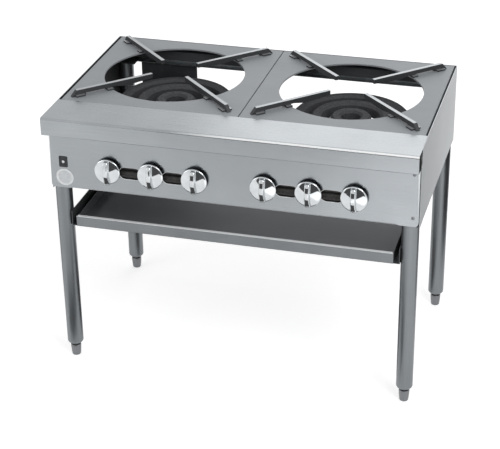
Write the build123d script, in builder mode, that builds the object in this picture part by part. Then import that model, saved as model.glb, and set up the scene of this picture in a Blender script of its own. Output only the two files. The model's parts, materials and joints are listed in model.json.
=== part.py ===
from build123d import *
import math
import os

# A free-standing gas stock pot range with two open burner sections side by side. All sizes are in
# millimetres. The origin lies on the floor under the middle of the body. The front faces -Y, the
# right-hand section is at +X and +Z is up.

os.makedirs("parts", exist_ok=True)

# ---------------------------------------------------------------- driving dimensions
body_width = 914.0
body_depth = 565.0
deck_height = 695.0
sheet = 1.5                     # body sheet steel
rail_sheet = 2.0                # frame rails under the decks and tray runners
hole_margin = 1.0               # cutting tools stand out of the sheet by this much
fit_gap = 0.05                  # radial running fit
bond_gap = 0.02                 # radial gap of a fixed fit

# Legs and feet
leg_radius = 20.65
leg_wall = 1.5
leg_side_inset = 23.0           # leg axis inside the body side
front_leg_setback = 60.0        # leg axis behind the ledge front
rear_leg_setback = 24.0         # leg axis in front of the rear
foot_height = 38.0
foot_radius = 13.5
foot_toe_radius = 11.0
foot_neck_radius = 9.5
foot_neck_height = 6.0
foot_stem_radius = 6.0
foot_stem_length = 60.0
insert_length = 25.0
leg_top_drop = 55.0             # leg top below the deck
gusset_thickness = 3.0
gusset_reach = 57.0             # from the side panel inwards
gusset_depth = 55.0
spigot_length = 40.0

# Panels
panel_setback = 36.0            # panel face behind the ledge front
panel_height = 152.0            # below the ledge
panel_inset = 2.0               # panel end inside the body side
panel_corner_radius = 9.0
panel_return = 14.0
panel_flange = 20.0
side_setback = 46.0             # side panel front behind the ledge front
side_height = 206.0
flange_leg_gap = 8.0            # folded flanges stop this far from the legs
rear_rail_height = 60.0
ledge_depth = 118.0
ledge_drop = 45.0
ledge_nose_radius = 6.0         # outside of the upper fold
ledge_fold_radius = 2.5         # outside of the lower fold
ledge_end_gap = 0.2

# Deck plates
deck_thickness = 2.5
deck_flange = 18.0
deck_gap = 1.0                  # round the edge of each deck plate
deck_side_gap = 5.0             # deck plate to side panel
opening_radius = 178.0
opening_rim = 4.0

# Rails under the decks
rail_shelf = 30.0
rail_web = 25.0
centre_rail_half = 22.0

# Grate bars
bar_width = 10.0
bar_top = 16.0                  # above the deck
bar_inner_r = 64.0
bar_outer_r = 272.0
bar_nose_r = 286.0
bar_toe_length = 38.0
bar_underside = 5.0             # above the deck, between the feet
bar_tip_rise = 5.0              # underside of the inner tip above the deck
bar_belly = 38.0                # lowest point of the underside, inside the opening's edge
bar_rim_arch = 10.0             # underside clears the opening's edge from here
bar_pad_reach = 2.0             # pad past the opening's edge
bar_pad_length = 16.0
bar_foot_width = 26.0           # feet stand out on both sides of the bar
bar_foot_height = 4.0
bar_foot_length = 24.0
bar_foot_end = 10.0             # outer foot behind the nose

# Knobs, valves and the pipe behind the panel's slots
knob_pitch = 109.5
knob_outset = 143.5             # innermost knob from the opening's centre line
knob_rise = 60.0                # above the panel's lower edge
knob_radius = 32.5
knob_back = 8.0                 # knob back face in front of the panel face
knob_rim = 4.0
knob_dome = 2.0
knob_grip_front = 28.0          # grip front in front of the panel face
knob_grip_width = 13.0
knob_grip_overhang = 0.5        # tail below the disc
knob_grip_draft = 8.0           # degrees
knob_dome_slope = 60.0          # degrees
knob_tail_radius = 8.0
knob_tip_radius = 4.0
pipe_radius = 13.35
pipe_wall = 2.9
pipe_set_back = 16.0            # pipe axis behind the panel face
pipe_drop = 12.0                # pipe axis below the knob axis
slot_length = 56.0              # panel slots between the knobs
slot_height = 30.0
slot_drop = 4.0                 # slot middle below the knob axis
valve_half_width = 17.0
valve_panel_gap = 0.5           # valve front behind the panel sheet
valve_depth = 29.0
valve_top = 17.0                # above the knob axis
valve_bottom = 27.0             # below the knob axis
feed_drop = 28.0                # feed axis below the knob axis
feed_foot = 9.0                 # body below the feed axis
feed_radius = 8.5
bonnet_thickness = 3.0
bonnet_radius = 15.0
bonnet_hole_gap = 1.0
plug_radius = 8.0
plug_length = 17.5
plug_end_gap = 0.5
stem_radius = 5.0
stem_flat = 3.5
stem_in_knob = 10.5
neck_radius = 9.0
neck_reach = 12.0               # outlet neck behind the valve
hood_radius = 8.0
hood_length = 24.0
hood_tip = 4.0
hood_tip_slope = 35.0           # degrees
shutter_radius = 16.0
shutter_length = 27.0
shutter_plate = 2.0
shutter_start = 5.0             # along the hood
plug_cap_radius = 10.0
plug_cap_length = 7.0

# Burners
burner_drop = 66.0              # ring tops below the deck
ring_height = 30.0
ring_width = 26.0
ring_radii = {"outer": 135.0, "middle": 88.0, "inner": 38.0}
ring_port_counts = {"outer": 36, "middle": 24, "inner": 12}
ring_valves = {"outer": 0, "middle": 2, "inner": 1}     # knob steps from the range's middle
port_radius = 1.6
port_depth = 5.0
ring_shoulder = 6.0
mixer_radius = 13.0
mixer_wall = 3.0
mixer_gap = 0.5                 # mixer mouth behind the shutter plate
riser_radius = 8.0
strap_width = 20.0
strap_thickness = 3.0
strap_front = -80.0             # from the burner centre
strap_rear = 30.0

# Gas supply
supply_radius = 10.65
supply_wall = 2.8
supply_behind = 25.0            # cross pipe axis behind the valves
supply_side_inset = 62.0        # side run inside the body side
supply_bend = 18.0
supply_rise_run = 60.0
cross_pipe_end = 27.5           # past the right opening's centre line
boss_radius = 11.5
boss_reach = 13.0
regulator_side_inset = 142.0
regulator_rear_inset = 54.5
regulator_ring_gap = 6.0        # dome below the burner rings
regulator_body_radius = 20.0
regulator_half_length = 40.0
regulator_neck = 22.0
diaphragm_radius = 36.0
diaphragm_height = 12.0
dome_radius = 26.0
dome_height = 16.0
regulator_plate_width = 156.0
regulator_plate_drop = 22.0     # plate's lower edge below the regulator axis
regulator_plate_sheet = 3.0
regulator_plate_gap = 10.0      # plate in front of the rear rail sheet
inlet_radius = 13.35
inlet_wall = 2.9
inlet_boss_radius = 18.0
pilot_radius = 3.0
pilot_x_offset = 11.5
pilot_level = 20.0              # tube above the knob axis
pilot_bend = 12.0
pilot_gap = 15.0                # pilot axis in front of the outer ring
pilot_tip_radius = 6.0
pilot_tip_length = 8.0

# Drip tray and runners
tray_drop = 304.0               # tray bottom below the deck
tray_lip_height = 28.0
tray_wall_height = 26.0
tray_sheet = 1.2
tray_front_gap = 1.15           # lip face in front of the leg fronts, taken off the leg radius
tray_lip_gap = 15.0             # lip end to leg
tray_side_gap = 14.0            # tray side to runner web
tray_rear_inset = 42.5
tray_hem = 8.0
runner_ledge = 22.0
runner_web = 40.0
runner_setback = 6.0            # runner front behind the lip

# Small trim
screw_end_inset = 13.0          # from the panel end
screw_below_ledge = 18.0
screw_above_edge = 22.0         # lower screw above the panel's lower edge
screw_head_radius = 4.0
screw_head = 2.5
screw_radius = 2.4
screw_length = 3.0
disc_radius = 22.5
disc_end_inset = 36.0
disc_above_panel_edge = 28.5
plate_end_inset = 34.5
plate_above_panel_edge = 68.5
plate_width = 26.0
plate_height = 32.0
badge_thickness = 0.6

# ---------------------------------------------------------------- derived places
half_width = body_width / 2
front_y = -body_depth / 2
rear_y = body_depth / 2
inner_x = half_width - sheet
leg_x = half_width - leg_side_inset
front_leg_y = front_y + front_leg_setback
rear_leg_y = rear_y - rear_leg_setback
leg_top = deck_height - leg_top_drop
panel_y = front_y + panel_setback
panel_end_x = half_width - panel_inset
side_front_y = front_y + side_setback
side_bottom = deck_height - side_height
ledge_bottom = deck_height - ledge_drop
panel_bottom = ledge_bottom - panel_height
ledge_rear_y = front_y + ledge_depth
rail_inner_y = rear_y - sheet
deck_centre_x = half_width / 2
deck_centre_y = (ledge_rear_y + rail_inner_y) / 2
rail_top = deck_height - deck_flange
leg_inner_x = leg_x - leg_radius
flange_x = leg_inner_x - flange_leg_gap
front_rail_y = (ledge_rear_y - rail_shelf / 2 + deck_gap, ledge_rear_y + rail_shelf / 2 + deck_gap)
rear_rail_shelf_y = (rail_inner_y - rail_shelf, rail_inner_y)
knob_inner_x = deck_centre_x - knob_outset
knob_z = panel_bottom + knob_rise
knob_xs = [side * (knob_inner_x + step * knob_pitch) for side in (-1, 1) for step in (0, 1, 2)]
feed_xs = [side * (knob_inner_x + knob_pitch) for side in (-1, 1)]
knob_back_y = panel_y - knob_back
knob_front_y = panel_y - knob_grip_front
valve_front_y = panel_y + sheet + valve_panel_gap
valve_back_y = valve_front_y + valve_depth
slot_xs = [side * (knob_inner_x + step * knob_pitch) for side in (-1, 1) for step in (0.5, 1.5)]
pipe_y = panel_y + pipe_set_back
pipe_z = knob_z - pipe_drop
feed_z = knob_z - feed_drop
neck_end_y = valve_back_y + neck_reach
shutter_y = neck_end_y + shutter_start
mixer_front_y = shutter_y + shutter_plate + mixer_gap
ring_top = deck_height - burner_drop
ring_bottom = ring_top - ring_height
supply_y = valve_back_y + supply_behind
regulator_plate_y = rail_inner_y - regulator_plate_gap - regulator_plate_sheet
rear_rail_bottom = deck_height - rear_rail_height
regulator_x = regulator_side_inset - half_width
regulator_y = rear_y - regulator_rear_inset
regulator_top = ring_bottom - regulator_ring_gap
regulator_z = regulator_top - dome_height - diaphragm_height - regulator_neck
supply_side_x = supply_side_inset - half_width
cross_end_x = deck_centre_x + cross_pipe_end
tray_bottom = deck_height - tray_drop
tray_rear_y = rear_y - tray_rear_inset
screw_x = panel_end_x - screw_end_inset
screw_zs = (ledge_bottom - screw_below_ledge, panel_bottom + screw_above_edge)
disc_x = disc_end_inset - panel_end_x
plate_x = plate_end_inset - panel_end_x
tray_front_y = front_leg_y - leg_radius + tray_front_gap
tray_half = leg_inner_x - rail_sheet - tray_side_gap
sides = {"left": -1, "right": 1}
ends = {"front": front_leg_y, "rear": rear_leg_y}


# ---------------------------------------------------------------- shared forms
def block(x, y, z, mode=Mode.ADD):
    """Add a box between a low and a high value on each axis."""
    with Locations(((x[0] + x[1]) / 2, (y[0] + y[1]) / 2, (z[0] + z[1]) / 2)):
        Box(abs(x[1] - x[0]), abs(y[1] - y[0]), abs(z[1] - z[0]), mode=mode)


def rod(start, direction, radius, length, mode=Mode.ADD):
    """Add a round bar that starts at a point and runs along a direction."""
    with BuildSketch(Plane(origin=start, z_dir=direction)) as section:
        Circle(radius)
    extrude(section.sketch, amount=length, mode=mode)


def pipe(start, direction, radius, wall, length):
    """Add a round tube that starts at a point and runs along a direction."""
    with BuildSketch(Plane(origin=start, z_dir=direction)) as section:
        Circle(radius)
        Circle(radius - wall, mode=Mode.SUBTRACT)
    extrude(section.sketch, amount=length)


def bent_pipe(points, bends, radius, wall):
    """Add a round tube along straight runs joined by tangent bends."""
    with BuildLine() as route:
        FilletPolyline(*points, radius=bends)
    first_run = Vector(*points[1]) - Vector(*points[0])
    with BuildSketch(Plane(origin=points[0], z_dir=first_run)) as section:
        Circle(radius)
        if wall:
            Circle(radius - wall, mode=Mode.SUBTRACT)
    sweep(section.sketch, path=route.wires()[0])


def keep(name, part):
    """Label a finished piece and write it."""
    part.label = name
    export_step(part, f"parts/{name}.step")


# ---------------------------------------------------------------- legs and feet
def make_leg(x, y):
    with BuildPart() as leg:
        pipe((x, y, foot_height), (0, 0, 1), leg_radius, leg_wall, leg_top - foot_height)
    return leg.part


def make_foot(x, y):
    """A tapered foot with a narrow neck and a threaded stem that runs up into the leg."""
    with BuildPart() as foot:
        with BuildSketch(Plane.XZ):
            with BuildLine():
                Polyline(
                    (0, 0),
                    (foot_toe_radius, 0),
                    (foot_radius, foot_height - 2 * foot_neck_height),
                    (foot_radius, foot_height - foot_neck_height),
                    (foot_neck_radius, foot_height - foot_neck_height),
                    (foot_neck_radius, foot_height),
                    (foot_stem_radius, foot_height),
                    (foot_stem_radius, foot_height + foot_stem_length),
                    (0, foot_height + foot_stem_length),
                    close=True,
                )
            make_face()
        revolve(axis=Axis.Z)
    return foot.part.moved(Location((x, y, 0)))


for end, leg_y in ends.items():
    for side, sign in sides.items():
        keep(f"leg_{end}_{side}", make_leg(sign * leg_x, leg_y))
        keep(f"foot_{end}_{side}", make_foot(sign * leg_x, leg_y))

leg_places = [(sign * leg_x, leg_y) for sign in sides.values() for leg_y in ends.values()]

# A threaded insert closes the bottom of each leg.
with BuildPart() as leg_inserts:
    for x, y in leg_places:
        insert_radius = leg_radius - leg_wall - bond_gap
        rod((x, y, foot_height), (0, 0, 1), insert_radius, insert_length)
        rod((x, y, foot_height), (0, 0, 1), foot_stem_radius + fit_gap, insert_length, Mode.SUBTRACT)
keep("leg_inserts", leg_inserts.part)

# A corner plate with a round spigot takes the top of each leg.
with BuildPart() as leg_gussets:
    gusset_z = (leg_top, leg_top + gusset_thickness)
    low_x = inner_x - gusset_reach
    block((low_x, panel_end_x - sheet), (panel_y + sheet, panel_y + sheet + gusset_depth), gusset_z)
    return_end_y = panel_y + sheet + panel_return
    block((low_x, inner_x), (return_end_y, panel_y + sheet + gusset_depth), gusset_z)
    block((low_x, inner_x), (rail_inner_y - gusset_depth, rail_inner_y), gusset_z)
    for leg_y in ends.values():
        spigot_radius = leg_radius - leg_wall - bond_gap
        rod((leg_x, leg_y, leg_top), (0, 0, -1), spigot_radius, spigot_length)
    mirror(about=Plane.YZ)
keep("leg_gussets", leg_gussets.part)

# ---------------------------------------------------------------- body panels
# Front panel: flat sheet with rounded lower corners, end returns and a lower flange. It has a hole
# for each valve and a slot between each two, where the pipe that joins them shows.
with BuildPart() as front_panel:
    with BuildSketch(Plane.XZ.offset(-(panel_y + sheet))):
        with Locations((0, (panel_bottom + ledge_bottom) / 2)):
            Rectangle(2 * panel_end_x, ledge_bottom - panel_bottom)
    extrude(amount=sheet)
    lower_corners = front_panel.edges().filter_by(Axis.Y).group_by(Axis.Z)[0]
    fillet(lower_corners, panel_corner_radius)
    for sign in sides.values():
        end_x = sorted((sign * panel_end_x, sign * (panel_end_x - sheet)))
        return_z = (panel_bottom + panel_corner_radius, ledge_bottom)
        block(end_x, (panel_y + sheet, panel_y + sheet + panel_return), return_z)
    flange_y = (panel_y + sheet, panel_y + sheet + panel_flange)
    block((-flange_x, flange_x), flange_y, (panel_bottom, panel_bottom + sheet))
    cut_y = panel_y - hole_margin
    cut_depth = sheet + 2 * hole_margin
    for x in knob_xs:
        bonnet_hole = bonnet_radius + bonnet_hole_gap
        rod((x, cut_y, knob_z), (0, 1, 0), bonnet_hole, cut_depth, Mode.SUBTRACT)
    for z in screw_zs:
        screw_hole = screw_radius + bond_gap
        rod((screw_x, cut_y, z), (0, 1, 0), screw_hole, cut_depth, Mode.SUBTRACT)
    with BuildSketch(Plane.XZ.offset(-(cut_y + cut_depth))):
        for x in slot_xs:
            with Locations((x, knob_z - slot_drop)):
                SlotOverall(slot_length, slot_height)
    extrude(amount=cut_depth, mode=Mode.SUBTRACT)
keep("front_panel", front_panel.part)

# Landing ledge: a folded sheet with a front drop, a lower return, open ends and a rear flange.
with BuildPart() as landing_ledge:
    top_z = (deck_height - sheet, deck_height)
    block((-half_width, half_width), (front_y, side_front_y), top_z)
    tail_x = inner_x - ledge_end_gap
    block((-tail_x, tail_x), (side_front_y, ledge_rear_y), top_z)
    block((-half_width, half_width), (front_y, front_y + sheet), (ledge_bottom, deck_height))
    return_y = (front_y, panel_y + sheet)
    block((-half_width, half_width), return_y, (ledge_bottom, ledge_bottom + sheet))
    block((-tail_x, tail_x), (ledge_rear_y - sheet, ledge_rear_y), (rail_top, deck_height))
    for depth in (sheet, 0):
        face_y = front_y + depth
        folds = landing_ledge.edges().filter_by(Axis.X).filter_by_position(
            Axis.Y, face_y - sheet / 4, face_y + sheet / 4).sort_by(Axis.Z)
        fillet(folds[-1], ledge_nose_radius - depth)
        fillet(folds[0], ledge_fold_radius - depth)
keep("landing_ledge", landing_ledge.part)

for side, sign in sides.items():
    with BuildPart() as side_panel:
        skin_x = sorted((sign * half_width, sign * inner_x))
        block(skin_x, (side_front_y, rear_y), (side_bottom, deck_height))
    keep(f"side_panel_{side}", side_panel.part)

with BuildPart() as rear_rail:
    block((-inner_x, inner_x), (rail_inner_y, rear_y), (rear_rail_bottom, deck_height))
    fold_y = (rail_inner_y - panel_flange, rear_y)
    block((-flange_x, flange_x), fold_y, (rear_rail_bottom, rear_rail_bottom + sheet))
keep("rear_rail", rear_rail.part)

# ---------------------------------------------------------------- rails under the decks
shelf_z = (rail_top - rail_sheet, rail_top)
web_z = (rail_top - rail_web, rail_top)

with BuildPart() as front_cross_rail:
    block((-inner_x, inner_x), front_rail_y, shelf_z)
    block((-inner_x, inner_x), (front_rail_y[0], front_rail_y[0] + rail_sheet), web_z)
keep("front_cross_rail", front_cross_rail.part)

with BuildPart() as rear_cross_rail:
    block((-inner_x, inner_x), rear_rail_shelf_y, shelf_z)
    block((-inner_x, inner_x), (rear_rail_shelf_y[0], rear_rail_shelf_y[0] + rail_sheet), web_z)
keep("rear_cross_rail", rear_cross_rail.part)

run_y = (front_rail_y[1], rear_rail_shelf_y[0])
with BuildPart() as side_rails:
    block((inner_x - rail_shelf, inner_x), run_y, shelf_z)
    block((inner_x - rail_sheet, inner_x), run_y, web_z)
    mirror(about=Plane.YZ)
keep("side_rails", side_rails.part)

with BuildPart() as centre_rail:
    block((-centre_rail_half, centre_rail_half), run_y, shelf_z)
    for sign in sides.values():
        web_x = sorted((sign * centre_rail_half, sign * (centre_rail_half - rail_sheet)))
        block(web_x, run_y, web_z)
keep("centre_rail", centre_rail.part)


# ---------------------------------------------------------------- deck plates and grate bars
def make_deck(sign):
    """A plate with folded-down edges and a round opening with a turned-down rim."""
    near_x = deck_gap
    far_x = inner_x - deck_side_gap
    near_y = ledge_rear_y + deck_gap
    far_y = rail_inner_y - deck_gap
    wall = deck_thickness
    with BuildPart() as deck:
        x = sorted((sign * near_x, sign * far_x))
        block(x, (near_y, far_y), (rail_top, deck_height))
        inside_x = (x[0] + wall, x[1] - wall)
        block(inside_x, (near_y + wall, far_y - wall), (rail_top, deck_height - wall), Mode.SUBTRACT)
        centre = (sign * deck_centre_x, deck_centre_y, deck_height)
        rod(centre, (0, 0, -1), opening_radius + wall, opening_rim)
        rod(centre, (0, 0, -1), opening_radius, opening_rim, Mode.SUBTRACT)
    return deck.part


def make_bars(sign):
    """Four bars on the diagonals, each on a wide foot at the toe and one at the opening's edge."""
    pad_start = opening_radius - bar_pad_reach
    pad_end = pad_start + bar_pad_length
    toe_start = bar_nose_r - bar_toe_length
    foot_end = bar_nose_r - bar_foot_end
    with BuildPart() as bars:
        for turn in (45, 135, 225, 315):
            along = (math.cos(math.radians(turn)), math.sin(math.radians(turn)), 0)
            across = (along[1], -along[0], 0)
            centre = (sign * deck_centre_x, deck_centre_y, deck_height)
            with BuildSketch(Plane(origin=centre, x_dir=along, z_dir=across)):
                with BuildLine():
                    Polyline(
                        (bar_inner_r, bar_tip_rise),
                        (opening_radius - bar_belly, 0),
                        (opening_radius - bar_rim_arch, bar_underside),
                        (pad_start, bar_underside),
                        (pad_start, 0),
                        (pad_end, 0),
                        (pad_end, bar_underside),
                        (toe_start, bar_underside),
                        (toe_start, 0),
                        (bar_nose_r, 0),
                        (bar_outer_r, bar_top),
                        (bar_inner_r, bar_top),
                        close=True,
                    )
                make_face()
            extrude(amount=bar_width / 2, both=True)
            with BuildSketch(Plane(origin=centre, x_dir=along, z_dir=(0, 0, 1))):
                with Locations(((pad_start + pad_end) / 2, 0)):
                    Rectangle(bar_pad_length, bar_foot_width)
                with Locations((foot_end - bar_foot_length / 2, 0)):
                    Rectangle(bar_foot_length, bar_foot_width)
            extrude(amount=bar_foot_height)
    return bars.part


for side, sign in sides.items():
    keep(f"deck_plate_{side}", make_deck(sign))
    keep(f"grate_bars_{side}", make_bars(sign))


# ---------------------------------------------------------------- knobs and valves
def flatted_rod(x, start_y, radius, length, flat, mode=Mode.ADD):
    """Add a round bar towards the front that has a flat on its upper side."""
    with BuildSketch(Plane.XZ.offset(-start_y)) as section:
        with Locations((x, knob_z)):
            Circle(radius)
        with Locations((x, knob_z + flat + radius)):
            Rectangle(2 * radius, 2 * radius, mode=Mode.SUBTRACT)
    extrude(section.sketch, amount=length, mode=mode)


def make_knob(x):
    """A round disc with a shallow dome and a tall grip bar that ends in a round tail."""
    rim_y = knob_back_y - knob_rim
    grip_top = knob_z + knob_radius
    tail_z = knob_z - knob_radius - knob_grip_overhang + knob_tail_radius
    with BuildPart() as knob:
        rod((x, knob_back_y, knob_z), (0, -1, 0), knob_radius, knob_rim)
        with BuildSketch(Plane(origin=(x, rim_y, knob_z), z_dir=(0, -1, 0))):
            Circle(knob_radius)
        extrude(amount=knob_dome, taper=knob_dome_slope)
        with BuildSketch(Plane.XZ.offset(-rim_y)):
            with Locations((x, (tail_z + grip_top) / 2)):
                Rectangle(knob_grip_width, grip_top - tail_z)
            with Locations((x, tail_z)):
                Circle(knob_tail_radius)
        extrude(amount=rim_y - knob_front_y, taper=knob_grip_draft)
        grip_tip = knob.faces().sort_by(Axis.Y)[0].edges().filter_by(Axis.X)
        fillet(grip_tip, knob_tip_radius)
        bore_depth = stem_in_knob + bond_gap
        bore_flat = stem_flat + bond_gap
        flatted_rod(x, knob_back_y, stem_radius + bond_gap, bore_depth, bore_flat, Mode.SUBTRACT)
    return knob.part


def make_stem(x):
    """A valve plug with a stem that runs forward through the bonnet into the knob."""
    plug_back_y = valve_front_y + plug_length
    stem_length = valve_front_y - knob_back_y + stem_in_knob
    with BuildPart() as stem:
        rod((x, plug_back_y, knob_z), (0, -1, 0), plug_radius, plug_length)
        rod((x, valve_front_y, knob_z), (0, -1, 0), stem_radius, stem_length - stem_in_knob)
        flatted_rod(x, knob_back_y, stem_radius, stem_in_knob, stem_flat)
    return stem.part


for index, knob_x in enumerate(sorted(knob_xs), start=1):
    keep(f"knob_{index}", make_knob(knob_x))
    keep(f"valve_stem_{index}", make_stem(knob_x))

with BuildPart() as valve_bodies:
    for x in knob_xs:
        low_z = knob_z - valve_bottom
        if x in feed_xs:
            low_z = feed_z - feed_foot
        body_x = (x - valve_half_width, x + valve_half_width)
        block(body_x, (valve_front_y, valve_back_y), (low_z, knob_z + valve_top))
        rod((x, valve_back_y, knob_z), (0, 1, 0), neck_radius, neck_reach)
        bore_length = plug_length + plug_end_gap
        rod((x, valve_front_y, knob_z), (0, 1, 0), plug_radius + fit_gap, bore_length, Mode.SUBTRACT)
keep("valve_bodies", valve_bodies.part)

with BuildPart() as valve_bonnets:
    for x in knob_xs:
        rod((x, valve_front_y, knob_z), (0, -1, 0), bonnet_radius, bonnet_thickness)
        hole_radius = stem_radius + fit_gap
        rod((x, valve_front_y, knob_z), (0, -1, 0), hole_radius, bonnet_thickness, Mode.SUBTRACT)
keep("valve_bonnets", valve_bonnets.part)

# Nipples run from valve to valve, and a plug closes the outer side of each end valve.
with BuildPart() as manifold_nipples:
    nipple_length = knob_pitch - 2 * valve_half_width
    for sign in sides.values():
        for step in (0, 1):
            start_x = sign * (knob_inner_x + step * knob_pitch + valve_half_width)
            start = (start_x, pipe_y, pipe_z)
            pipe(start, (sign, 0, 0), pipe_radius, pipe_wall, nipple_length)
keep("manifold_nipples", manifold_nipples.part)

with BuildPart() as manifold_plugs:
    for x in knob_xs:
        if x not in feed_xs:
            outward = math.copysign(1, abs(x) - knob_inner_x - knob_pitch) * math.copysign(1, x)
            start = (x + outward * valve_half_width, pipe_y, pipe_z)
            rod(start, (outward, 0, 0), plug_cap_radius, plug_cap_length)
keep("manifold_plugs", manifold_plugs.part)

with BuildPart() as feed_nipples:
    for x in feed_xs:
        feed_length = supply_y - boss_reach - valve_back_y
        pipe((x, valve_back_y, feed_z), (0, 1, 0), feed_radius, supply_wall, feed_length)
keep("feed_nipples", feed_nipples.part)

with BuildPart() as orifice_hoods:
    for x in knob_xs:
        rod((x, neck_end_y, knob_z), (0, 1, 0), hood_radius, hood_length - hood_tip)
        tip_y = neck_end_y + hood_length - hood_tip
        with BuildSketch(Plane(origin=(x, tip_y, knob_z), z_dir=(0, 1, 0))):
            Circle(hood_radius)
        extrude(amount=hood_tip, taper=hood_tip_slope)
keep("orifice_hoods", orifice_hoods.part)

with BuildPart() as air_shutters:
    for x in knob_xs:
        rod((x, shutter_y, knob_z), (0, 1, 0), shutter_radius, shutter_length)
        bore_y = shutter_y + shutter_plate
        bore_radius = mixer_radius + bond_gap
        rod((x, bore_y, knob_z), (0, 1, 0), bore_radius, shutter_length, Mode.SUBTRACT)
        hole_radius = hood_radius + bond_gap
        rod((x, shutter_y, knob_z), (0, 1, 0), hole_radius, shutter_plate, Mode.SUBTRACT)
keep("air_shutters", air_shutters.part)


# ---------------------------------------------------------------- burners
def mixer_place(ring, sign):
    """Where a ring's mixer tube runs and where its riser meets the ring."""
    valve_x = sign * (knob_inner_x + ring_valves[ring] * knob_pitch)
    centre_x = sign * deck_centre_x
    offset = valve_x - centre_x
    reach = ring_radii[ring]
    riser_offset = math.copysign(min(abs(offset), reach), offset)
    riser_y = deck_centre_y - math.sqrt(reach ** 2 - riser_offset ** 2)
    return valve_x, centre_x + riser_offset, riser_y


def make_ring(ring, sign):
    """A cast ring with rows of ports, on a riser from its own straight mixer tube."""
    centre_x = sign * deck_centre_x
    radius = ring_radii[ring]
    valve_x, riser_x, riser_y = mixer_place(ring, sign)
    half = ring_width / 2
    with BuildPart() as casting:
        with BuildSketch(Plane.XZ):
            with BuildLine():
                Polyline(
                    (radius - half, 0),
                    (radius + half, 0),
                    (radius + half, ring_height - ring_shoulder),
                    (radius + half - ring_shoulder, ring_height),
                    (radius - half + ring_shoulder, ring_height),
                    (radius - half, ring_height - ring_shoulder),
                    close=True,
                )
            make_face()
        revolve(axis=Axis.Z)
        with Locations((0, 0, ring_height)):
            with PolarLocations(radius, ring_port_counts[ring]):
                Cylinder(port_radius, 2 * port_depth, mode=Mode.SUBTRACT)
    with BuildPart() as burner:
        add(casting.part.moved(Location((centre_x, deck_centre_y, ring_bottom))))
        rod((riser_x, riser_y, knob_z), (0, 0, 1), riser_radius, ring_bottom - knob_z)
        tube_end_y = riser_y + mixer_radius
        rod((valve_x, mixer_front_y, knob_z), (0, 1, 0), mixer_radius, tube_end_y - mixer_front_y)
        bore = mixer_radius - mixer_wall
        bore_length = riser_y - mixer_front_y
        rod((valve_x, mixer_front_y, knob_z), (0, 1, 0), bore, bore_length, Mode.SUBTRACT)
    return burner.part


for side, sign in sides.items():
    for ring_name in ring_radii:
        keep(f"burner_{side}_{ring_name}_ring", make_ring(ring_name, sign))
    with BuildPart() as burner_supports:
        strap_x = sorted((sign * centre_rail_half, sign * (inner_x - rail_sheet)))
        for strap_y in (deck_centre_y + strap_front, deck_centre_y + strap_rear):
            span_y = (strap_y - strap_width / 2, strap_y + strap_width / 2)
            block(strap_x, span_y, (ring_bottom - strap_thickness, ring_bottom))
            for end_x in ((strap_x[0], strap_x[0] + strap_thickness),
                          (strap_x[1] - strap_thickness, strap_x[1])):
                block(end_x, span_y, (ring_bottom - strap_thickness, rail_top - rail_sheet))
    keep(f"burner_supports_{side}", burner_supports.part)

# ---------------------------------------------------------------- gas supply
# A cross pipe behind the panel with a boss for each group's feed nipple.
with BuildPart() as supply_cross_pipe:
    cross_start_x = supply_side_x + supply_bend + supply_radius
    cross_start = (cross_start_x, supply_y, feed_z)
    cross_length = cross_end_x - cross_start_x
    rod(cross_start, (1, 0, 0), supply_radius, cross_length)
    for x in feed_xs:
        rod((x, supply_y, feed_z), (0, -1, 0), boss_radius, boss_reach)
    bore = supply_radius - supply_wall
    rod(cross_start, (1, 0, 0), bore, cross_length - supply_wall, Mode.SUBTRACT)
    for x in feed_xs:
        rod((x, supply_y, feed_z), (0, -1, 0), feed_radius - supply_wall, boss_reach, Mode.SUBTRACT)
keep("supply_cross_pipe", supply_cross_pipe.part)

with BuildPart() as supply_pipe:
    route_points = [
        (cross_start_x, supply_y, feed_z),
        (supply_side_x, supply_y, feed_z),
        (supply_side_x, regulator_y - supply_rise_run, feed_z),
        (supply_side_x, regulator_y, regulator_z),
        (regulator_x - regulator_half_length, regulator_y, regulator_z),
    ]
    bent_pipe(route_points, [supply_bend] * 3, supply_radius, supply_wall)
keep("supply_pipe", supply_pipe.part)

with BuildPart() as regulator:
    body_start = (regulator_x - regulator_half_length, regulator_y, regulator_z)
    rod(body_start, (1, 0, 0), regulator_body_radius, 2 * regulator_half_length)
    centre = (regulator_x, regulator_y, regulator_z)
    rod(centre, (0, 1, 0), inlet_boss_radius, regulator_plate_y - regulator_y)
    rod(centre, (0, 0, 1), regulator_body_radius, regulator_neck)
    disc_start = (regulator_x, regulator_y, regulator_z + regulator_neck)
    rod(disc_start, (0, 0, 1), diaphragm_radius, diaphragm_height)
    rod(disc_start, (0, 0, 1), dome_radius, diaphragm_height + dome_height)
keep("regulator", regulator.part)

with BuildPart() as regulator_plate:
    plate_low_x = regulator_x - regulator_plate_width / 2
    plate_x_span = (plate_low_x, plate_low_x + regulator_plate_width)
    plate_y_span = (regulator_plate_y, regulator_plate_y + regulator_plate_sheet)
    block(plate_x_span, plate_y_span, (regulator_z - regulator_plate_drop, rear_rail_bottom))
    hole_start = (regulator_x, regulator_plate_y, regulator_z)
    gas_way = inlet_radius - inlet_wall
    rod(hole_start, (0, 1, 0), gas_way, regulator_plate_sheet, Mode.SUBTRACT)
keep("regulator_plate", regulator_plate.part)

with BuildPart() as gas_inlet_pipe:
    inlet_y = regulator_plate_y + regulator_plate_sheet
    inlet_start = (regulator_x, inlet_y, regulator_z)
    pipe(inlet_start, (0, 1, 0), inlet_radius, inlet_wall, rear_y - inlet_y)
keep("gas_inlet_pipe", gas_inlet_pipe.part)

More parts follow.
